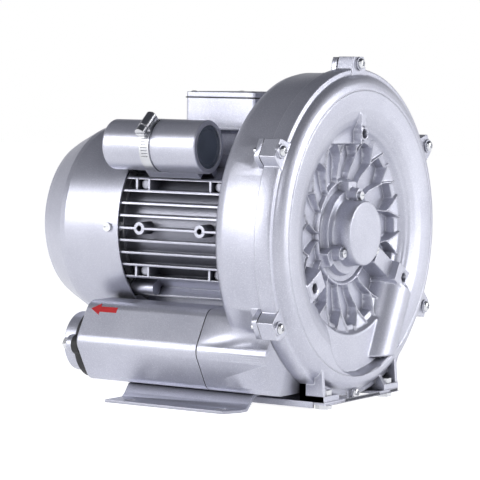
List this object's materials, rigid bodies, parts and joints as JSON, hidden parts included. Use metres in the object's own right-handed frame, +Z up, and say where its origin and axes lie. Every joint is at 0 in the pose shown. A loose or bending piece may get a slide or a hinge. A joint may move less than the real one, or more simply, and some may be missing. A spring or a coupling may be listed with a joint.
{
  "type": "side channel blower",
  "caption": "Side channel blower: ribbed ring-shaped casing on a flange motor, with silencers under it, a fan cowl, terminal box and strapped capacitor on a folded base.",
  "frame": {"origin": "centre of the foot-hole pattern on the underside of the base plate", "axes": "+Z up, -Y out of the front cover along the shaft, +Y toward the fan cowl and the ports, +X to the right of someone looking at the front cover"},
  "size_m": [0.287, 0.301, 0.305],
  "materials": {
    "silver_casting": "silver paint with a fine metallic sparkle over cast aluminium",
    "silver_sheet": "silver paint on smooth folded and pressed sheet steel",
    "bare_cast_aluminium": "machined and shot-blasted cast aluminium",
    "zinc_steel": "zinc-plated fasteners",
    "ground_steel": "ground shaft and bearing steel",
    "lamination_steel": "stacked electrical sheet",
    "black_rubber": "matt moulded rubber",
    "foam": "open-cell sound-absorbing foam",
    "black_plastic": "moulded black plastic",
    "slate_plastic": "dark slate potting disc",
    "grey_plastic": "moulded grey plastic gland",
    "board": "brown moulded terminal board",
    "brass": "bare brass",
    "copper_windings": "varnished copper windings"
  },
  "bodies": {
    "machine": {"front_cover": "silver_casting", "blower_housing": "silver_casting", "housing_gasket": "black_rubber", "cover_bolts": "zinc_steel", "hub_screws": "zinc_steel", "shaft_seal": "black_rubber", "motor_frame": "silver_casting", "frame_screws": "zinc_steel", "stator_core": "lamination_steel", "stator_windings": "copper_windings", "rear_endshield": "bare_cast_aluminium", "wave_washer": "zinc_steel", "shield_bolts": "zinc_steel", "fan_cowl": "silver_sheet", "cowl_screws": "zinc_steel", "terminal_box": "silver_casting", "terminal_box_gasket": "black_rubber", "terminal_box_lid": "silver_casting", "terminal_box_screws": "zinc_steel", "terminal_board": "board", "terminal_studs": "brass", "gland_body": "grey_plastic", "gland_nut": "grey_plastic", "capacitor_can": "silver_sheet", "capacitor_sleeve": "silver_sheet", "capacitor_disc": "slate_plastic", "capacitor_bracket": "silver_sheet", "clamp_band": "zinc_steel", "clamp_worm": "zinc_steel", "silencer_left": "silver_casting", "silencer_right": "silver_casting", "silencer_foam_left": "foam", "silencer_foam_right": "foam", "silencer_gasket_left": "black_rubber", "silencer_gasket_right": "black_rubber", "flange_gasket_left": "black_rubber", "flange_gasket_right": "black_rubber", "port_flange_left": "silver_casting", "port_flange_right": "silver_casting", "flange_bolts": "zinc_steel", "base_plate": "silver_sheet", "leg_bolts": "zinc_steel", "leg_nuts": "zinc_steel", "front_bearing_outer": "ground_steel", "rear_bearing_outer": "ground_steel"},
    "rotor": {"impeller": "bare_cast_aluminium", "impeller_key": "ground_steel", "impeller_washer": "zinc_steel", "impeller_bolt": "zinc_steel", "motor_shaft": "ground_steel", "rotor_core": "lamination_steel", "rotor_rings": "bare_cast_aluminium", "front_bearing_inner": "ground_steel", "rear_bearing_inner": "ground_steel", "cooling_fan": "black_plastic", "fan_clip": "zinc_steel"},
    "front_balls": {"front_bearing_balls": "ground_steel"},
    "rear_balls": {"rear_bearing_balls": "ground_steel"}
  },
  "joints": [
    {"name": "rotor_spin", "type": "hinge", "parent": "machine", "child": "rotor", "pos_m": [0, 0, 0.1505], "axis": [0, 1, 0], "continuous": true},
    {"name": "front_balls_spin", "type": "hinge", "parent": "machine", "child": "front_balls", "pos_m": [0, 0, 0.1505], "axis": [0, 1, 0], "continuous": true},
    {"name": "rear_balls_spin", "type": "hinge", "parent": "machine", "child": "rear_balls", "pos_m": [0, 0, 0.1505], "axis": [0, 1, 0], "continuous": true}
  ],
  "couplings": [
    {"joint": "front_balls_spin", "follows": "rotor_spin", "ratio": 0.38358},
    {"joint": "rear_balls_spin", "follows": "rotor_spin", "ratio": 0.38358}
  ]
}
